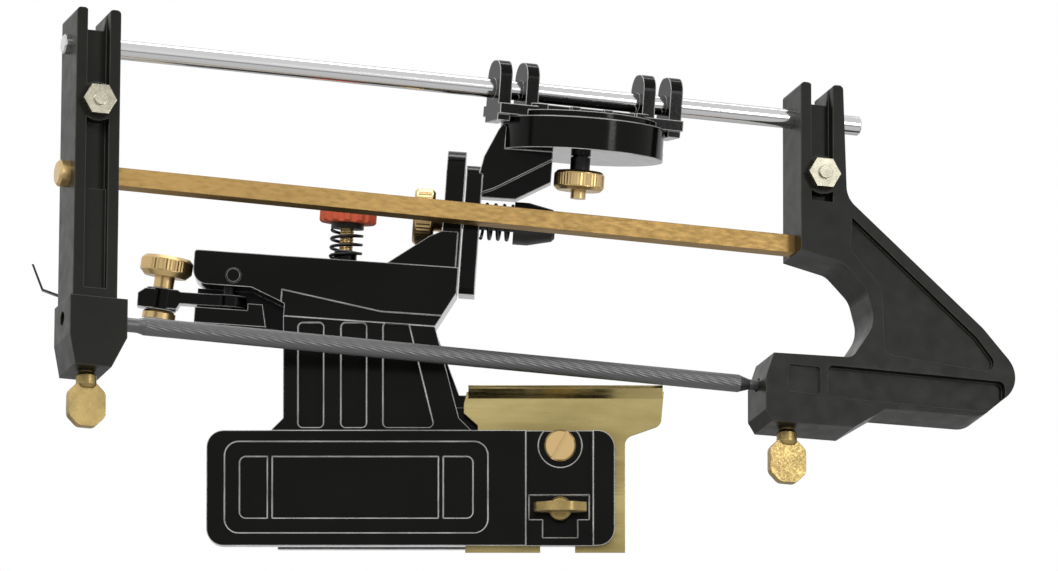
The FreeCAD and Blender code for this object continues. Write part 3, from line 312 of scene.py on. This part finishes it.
def enamel(name, base, highlight_colour, roughness, specular, edge):
    """Sprayed enamel on a casting, with a faint orange peel, and a painted highlight: a lighter colour
    laid along its edges in broken streaks, standing for light caught on them.
    """
    tree, shader, place = new_finish(name, 0.0, specular)
    paint = shades(tree, cloud(tree, place, 60, 5), tint(base, 0.85), tint(base, 1.25))
    # Painted highlight: the edge mask, broken up by noise, mixes the highlight colour into the paint along
    # every edge
    mix = tree.nodes.new("ShaderNodeMix")
    mix.data_type = "RGBA"
    mix.inputs["B"].default_value = (*highlight_colour, 1)
    painted_highlight_mask = tree.nodes.new("ShaderNodeMath")
    painted_highlight_mask.operation = "MULTIPLY"
    tree.links.new(edges(tree, edge), painted_highlight_mask.inputs[0])
    tree.links.new(span(tree, cloud(tree, place, 120, 3), 0.55, 1), painted_highlight_mask.inputs[1])
    tree.links.new(painted_highlight_mask.outputs[0], mix.inputs["Factor"])
    tree.links.new(paint, mix.inputs["A"])
    tree.links.new(mix.outputs["Result"], shader.inputs["Base Color"])
    tree.links.new(span(tree, cloud(tree, place, 200, 4), roughness * 0.85, roughness * 1.2),
                   shader.inputs["Roughness"])
    relief(tree, shader, cloud(tree, place, 900, 2), SMOOTH, edge)


def plating(name, base, warm, roughness, edge):
    """Passivated zinc: patches that drift between two tints, with fine rolling marks."""
    tree, shader, place = new_finish(name, 1.0)
    patches = cloud(tree, place, 38, 4, (0.5, 1, 1.6))
    tree.links.new(shades(tree, patches, base, warm), shader.inputs["Base Color"])
    marks = cloud(tree, place, 900, 3, (0.06, 1, 1))
    tree.links.new(span(tree, marks, roughness * 0.75, roughness * 1.4), shader.inputs["Roughness"])
    relief(tree, shader, marks, DRAWN, edge)


def turned_metal(name, base, roughness, depth, edge):
    """Machined metal with fine marks and slightly tarnished patches."""
    tree, shader, place = new_finish(name, 1.0)
    tree.links.new(shades(tree, cloud(tree, place, 160, 5), tint(base, 0.72), tint(base, 1.18)),
                   shader.inputs["Base Color"])
    marks = cloud(tree, place, 1400, 3)
    tree.links.new(span(tree, marks, roughness * 0.7, roughness * 1.5), shader.inputs["Roughness"])
    relief(tree, shader, marks, depth, edge)


def ground_steel(name, base, roughness):
    """Rod ground along its length, with streaks in that direction."""
    tree, shader, place = new_finish(name, 1.0)
    streaks = cloud(tree, place, 700, 3, (0.03, 1, 1))
    tree.links.new(shades(tree, streaks, tint(base, 0.85), tint(base, 1.15)), shader.inputs["Base Color"])
    tree.links.new(span(tree, streaks, roughness * 0.6, roughness * 1.6), shader.inputs["Roughness"])
    relief(tree, shader, streaks, SMOOTH)


def moulded(name, base, roughness):
    """Moulded plastic with a fine grain."""
    tree, shader, place = new_finish(name, 0.0, 0.4)
    tree.links.new(shades(tree, cloud(tree, place, 120, 4), tint(base, 0.8), tint(base, 1.15)),
                   shader.inputs["Base Color"])
    grain = cloud(tree, place, 2200, 2)
    tree.links.new(span(tree, grain, roughness * 0.85, roughness * 1.2), shader.inputs["Roughness"])
    relief(tree, shader, grain, GRAINY, MOULD_EDGE)


# Which finish each node has
FINISHES = {
    "gloss_enamel": ("front_leg", "rear_jaw", "bridge", "head_button", "stop_arm", "swivel_arm_and_table",
                     "carriage"),
    "satin_enamel": ("left_upright", "handle"),
    "plate_zinc": ("pressure_plate",),
    "thumb_brass": ("left_file_screw", "right_file_screw", "clamp_thumb_screw"),
    "bar_zinc": ("spacer_bar",),
    "brass": ("slotted_set_screw", "leaf_rivet", "height_screw", "stop_screw", "stop_foot", "tilt_knob",
              "swivel_knob", "swivel_screw_tip", "bar_end_nut"),
    "nut_zinc": ("left_rod_nut", "right_rod_nut"),
    "rod_steel": ("guide_rod",),
    "file_steel": ("round_file",),
    "spring_steel": ("stop_arm_pin", "stop_leaf_spring", "height_spring", "tilt_spring", "tilt_bolt",
                     "tilt_cap_nut", "swivel_screw"),
    "red_plastic": ("red_height_knob",),
    "hub_plastic": ("height_hub",),
}


class GUIDE_OT_finishes(bpy.types.Operator):
    """Make the paints, platings and metals, and give each node of the frame its own"""

    bl_idname = "filing_guide.finishes"
    bl_label = "Finishes"

    def execute(self, context):
        chosen = context.scene.guide_finishes
        edge = chosen.edge_radius
        enamel("gloss_enamel", chosen.gloss_black, chosen.painted_edge_highlight, 0.13, 0.1, edge)
        enamel("satin_enamel", chosen.satin_black, chosen.painted_satin_highlight, 0.34, 0.16, edge)
        plating("plate_zinc", chosen.plate_shade, chosen.yellow_zinc, 0.26, edge / 2)
        plating("bar_zinc", chosen.bar_zinc, tint(chosen.bar_zinc, 0.88), 0.42, edge / 2)
        turned_metal("brass", chosen.brass, 0.27, SMOOTH, edge / 2)
        turned_metal("thumb_brass", chosen.thumb_brass, 0.36, POLISHED, edge / 2)
        turned_metal("nut_zinc", chosen.bright_zinc, 0.25, BURNISHED, edge / 2)
        ground_steel("rod_steel", chosen.rod_steel, 0.16)
        turned_metal("file_steel", chosen.file_steel, 0.42, DRAWN, 0)
        turned_metal("spring_steel", chosen.spring_steel, 0.34, SMOOTH, edge / 2)
        moulded("red_plastic", chosen.red_plastic, 0.38)
        moulded("hub_plastic", chosen.satin_black, 0.45)
        for finish, nodes in FINISHES.items():
            for node in nodes:
                piece = frame["nodes"][node]
                for place in piece.material_slots:
                    place.material = bpy.data.materials[finish]
        return {"FINISHED"}


class GUIDE_OT_file_cut(bpy.types.Operator):
    """Wrap the file's spiral cut around its full length"""

    bl_idname = "filing_guide.file_cut"
    bl_label = "File cut"

    def execute(self, context):
        cut = context.scene.guide_cuts
        axis = line_of("frame_swing")[1]
        point = centre_line("round_file", axis)
        low, high, radius = widest("round_file", point, axis)
        rows = round((high - low) / cut.file_step)
        deselect()
        sides = cut.file_flutes * 3
        bpy.ops.mesh.primitive_cylinder_add(vertices=sides, radius=radius + cut.file_depth,
                                            depth=(high - low) / rows, end_fill_type="NOTHING")
        piece = bpy.context.object
        around = math.tau / sides
        pick(piece, lambda place: round(math.atan2(place.y, place.x) / around) % 3 == 0)
        share = (radius + cut.file_depth * VALLEY) / (radius + cut.file_depth)
        bpy.ops.transform.resize(value=(share, share, 1), center_override=(0, 0, 0))
        bpy.ops.object.mode_set(mode="OBJECT")
        apply_modifier(piece, "ARRAY", count=rows, relative_offset_displace=(0, 0, 1),
                       use_merge_vertices=True, merge_threshold=0.00001)
        turn = (high - low) * math.tan(cut.file_slope) / radius
        apply_modifier(piece, "SIMPLE_DEFORM", deform_method="TWIST", deform_axis="Z", angle=turn)
        bpy.ops.object.mode_set(mode="EDIT")
        bpy.ops.mesh.select_all(action="SELECT")
        bpy.ops.mesh.fill_holes(sides=0)
        bpy.ops.mesh.normals_make_consistent(inside=False)
        bpy.ops.object.mode_set(mode="OBJECT")
        heights = [vertex.co.z for vertex in piece.data.vertices]
        middle = (min(heights) + max(heights)) / 2
        start = point + axis * ((low + high) / 2) - axis * middle
        settle(piece, "file_cut", start, axis, "round_file", "file_steel")
        return {"FINISHED"}


def knurl(name, node, point, axis, cut):
    """Toothed band around a knob's widest stretch."""
    low, high, radius = widest(node, point, axis)
    margin = (high - low) * (1 - KNURLED) / 2
    teeth = cut.knurl_teeth
    deselect()
    bpy.ops.mesh.primitive_cylinder_add(vertices=teeth * 2, radius=radius + cut.knurl_depth,
                                        depth=high - low - margin * 2)
    piece = bpy.context.object
    around = math.pi / teeth
    pick(piece, lambda place: round(math.atan2(place.y, place.x) / around) % 2 == 0)
    inner = (radius + cut.knurl_depth * VALLEY) / (radius + cut.knurl_depth)
    bpy.ops.transform.resize(value=(inner, inner, 1), center_override=(0, 0, 0))
    bpy.ops.mesh.select_mode(type="FACE")
    bpy.ops.mesh.select_all(action="DESELECT")
    bpy.ops.object.mode_set(mode="OBJECT")
    for face in piece.data.polygons:
        face.select = abs(face.normal.z) > 0.9
    bpy.ops.object.mode_set(mode="EDIT")
    bpy.ops.mesh.inset(thickness=cut.knurl_depth, depth=cut.knurl_depth * 0.6)
    bpy.ops.object.mode_set(mode="OBJECT")
    settle(piece, name, point + axis * ((low + high) / 2), axis, node, "brass")


class GUIDE_OT_knurls(bpy.types.Operator):
    """Cut the knurls of the round knobs"""

    bl_idname = "filing_guide.knurls"
    bl_label = "Knurls"

    def execute(self, context):
        cut = context.scene.guide_cuts
        for name, node, joint in (("stop_knurl", "stop_screw", "stop_turn"),
                                  ("tilt_knurl", "tilt_knob", "tilt_turn"),
                                  ("swivel_knurl", "swivel_knob", "swivel_turn")):
            knurl(name, node, *line_of(joint), cut)
        return {"FINISHED"}


def thread(name, node, point, axis, radius, low, high, cut):
    """Spiral ridge around a screw between two places on its axis."""
    turns = max(1, int((high - low) / cut.thread_pitch))
    deselect()
    bpy.ops.mesh.primitive_circle_add(vertices=3, radius=cut.thread_pitch * 0.5,
                                      location=(radius, 0, 0), rotation=(math.pi / 2, 0, 0))
    piece = bpy.context.object
    bpy.ops.object.transform_apply(location=True, rotation=True, scale=True)
    reach = cut.thread_depth / cut.thread_pitch * 1.2
    bpy.ops.object.mode_set(mode="EDIT")
    bpy.ops.mesh.select_all(action="SELECT")
    bpy.ops.transform.resize(value=(reach, 1, 1), center_override=(radius, 0, 0))
    bpy.ops.object.mode_set(mode="OBJECT")
    apply_modifier(piece, "SCREW", axis="Z", screw_offset=cut.thread_pitch, iterations=turns, steps=20,
                   render_steps=20, use_merge_vertices=False)
    bpy.ops.object.mode_set(mode="EDIT")
    bpy.ops.mesh.select_all(action="SELECT")
    bpy.ops.mesh.fill_holes(sides=3)
    bpy.ops.mesh.normals_make_consistent(inside=False)
    bpy.ops.object.mode_set(mode="OBJECT")
    settle(piece, name, point + axis * low, axis, node, "brass")


class GUIDE_OT_threads(bpy.types.Operator):
    """Cut the thread of the height screw"""

    bl_idname = "filing_guide.threads"
    bl_label = "Threads"

    def execute(self, context):
        cut = context.scene.guide_cuts
        point, axis = line_of("height_turn")
        rows = profile("height_screw", point, axis)
        far = max(row[0] for row in rows)
        near = min(row[0] for row in rows)
        slim = min(row[1] for row in rows if row[1] > cut.thread_depth)
        foot = min(row[0] for row in rows if row[1] > slim * 1.2)
        end = min(far, foot) - cut.thread_pitch * 2
        thread("height_thread", "height_screw", point, axis, slim, near, end, cut)
        return {"FINISHED"}


def world_light(scene, ambient):
    """Even light, with white behind everything that the camera or a shiny surface sees."""
    world = bpy.data.worlds.new("studio")
    scene.world = world
    world.use_nodes = True
    tree = world.node_tree
    tree.nodes.clear()
    output = tree.nodes.new("ShaderNodeOutputWorld")
    light = tree.nodes.new("ShaderNodeBackground")
    light.inputs["Color"].default_value = WHITE
    light.inputs["Strength"].default_value = ambient
    shown = tree.nodes.new("ShaderNodeBackground")
    shown.inputs["Color"].default_value = WHITE
    shown.inputs["Strength"].default_value = 1
    rays = tree.nodes.new("ShaderNodeLightPath")
    mirrored = tree.nodes.new("ShaderNodeMath")
    mirrored.operation = "MAXIMUM"
    seen = tree.nodes.new("ShaderNodeMath")
    seen.operation = "MAXIMUM"
    mix = tree.nodes.new("ShaderNodeMixShader")
    tree.links.new(rays.outputs["Is Glossy Ray"], mirrored.inputs[0])
    tree.links.new(rays.outputs["Is Transmission Ray"], mirrored.inputs[1])
    tree.links.new(rays.outputs["Is Camera Ray"], seen.inputs[0])
    tree.links.new(mirrored.outputs[0], seen.inputs[1])
    tree.links.new(seen.outputs[0], mix.inputs["Fac"])
    tree.links.new(light.outputs[0], mix.inputs[1])
    tree.links.new(shown.outputs[0], mix.inputs[2])
    tree.links.new(mix.outputs[0], output.inputs["Surface"])


def lamp(name, place, aim, size, power):
    data = bpy.data.lights.new(name, "AREA")
    data.shape = "RECTANGLE"
    data.size, data.size_y = size
    data.energy = power
    made = bpy.data.objects.new(name, data)
    made.location = place
    made.rotation_euler = (aim - Vector(place)).to_track_quat("-Z", "Y").to_euler()
    bpy.context.scene.collection.objects.link(made)


class GUIDE_OT_stage(bpy.types.Operator):
    """Set up the pale floor, the soft lamps and the camera"""

    bl_idname = "filing_guide.stage"
    bl_label = "Stage"

    def execute(self, context):
        stage = context.scene.guide_stage
        scene = context.scene
        scene.view_settings.view_transform = "Standard"
        aim = Vector(stage.aim)
        deselect()
        level = CAD_BOX[0][2] - stage.floor_depth
        bpy.ops.mesh.primitive_plane_add(size=stage.floor_size, location=(0, 0, level))
        floor = bpy.context.object
        floor.name = "floor"
        tree, shader, place = new_finish("floor_paint", 0.0, 0.2)
        pale = tuple(stage.floor_colour)
        tree.links.new(shades(tree, cloud(tree, place, 3), tint(pale, 0.985), pale),
                       shader.inputs["Base Color"])
        shader.inputs["Roughness"].default_value = 0.9
        floor.data.materials.append(bpy.data.materials["floor_paint"])
        world_light(scene, stage.ambient)
        lamp("key", (-0.7, -1.3, 1.3), aim, (0.3, 0.3), stage.lamp_power)
        lamp("fill", (1.3, -1.4, 0.5), aim, (0.3, 0.6), stage.lamp_power * 0.5)
        lamp("top", (0.1, 0.5, 1.6), aim, (0.8, 0.4), stage.lamp_power * 0.6)
        sight = Vector((0, math.cos(stage.camera_drop), math.sin(stage.camera_drop)))
        camera = bpy.data.objects.new("camera", bpy.data.cameras.new("camera"))
        camera.data.lens = stage.camera_lens
        camera.location = aim - sight * stage.camera_distance
        camera.rotation_euler = sight.to_track_quat("-Z", "Y").to_euler()
        scene.collection.objects.link(camera)
        scene.camera = camera
        return {"FINISHED"}


class GUIDE_PT_panel(bpy.types.Panel):
    """Lists what makes the filing guide's looks"""

    bl_label = "Filing guide"
    bl_idname = "GUIDE_PT_panel"
    bl_space_type = "VIEW_3D"
    bl_region_type = "UI"
    bl_category = "Filing guide"

    def draw(self, context):
        for operator in OPERATORS:
            self.layout.operator(operator.bl_idname)
        for settings in SETTINGS:
            group = getattr(context.scene, settings)
            for name in group.bl_rna.properties.keys():
                if name not in ("rna_type", "name"):
                    self.layout.prop(group, name)


OPERATORS = (GUIDE_OT_finishes, GUIDE_OT_file_cut, GUIDE_OT_knurls, GUIDE_OT_threads, GUIDE_OT_stage)
SETTINGS = {"guide_finishes": FinishSettings, "guide_cuts": CutSettings, "guide_stage": StageSettings}


def register():
    for kind in (*SETTINGS.values(), *OPERATORS, GUIDE_PT_panel):
        bpy.utils.register_class(kind)
    for name, kind in SETTINGS.items():
        setattr(bpy.types.Scene, name, PointerProperty(type=kind))


def unregister():
    for name in SETTINGS:
        delattr(bpy.types.Scene, name)
    for kind in (GUIDE_PT_panel, *reversed(OPERATORS), *SETTINGS.values()):
        bpy.utils.unregister_class(kind)


def main():
    register()
    bpy.ops.filing_guide.finishes()
    bpy.ops.filing_guide.file_cut()
    bpy.ops.filing_guide.knurls()
    bpy.ops.filing_guide.threads()
    bpy.ops.filing_guide.stage()


if __name__ == "__main__":
    main()
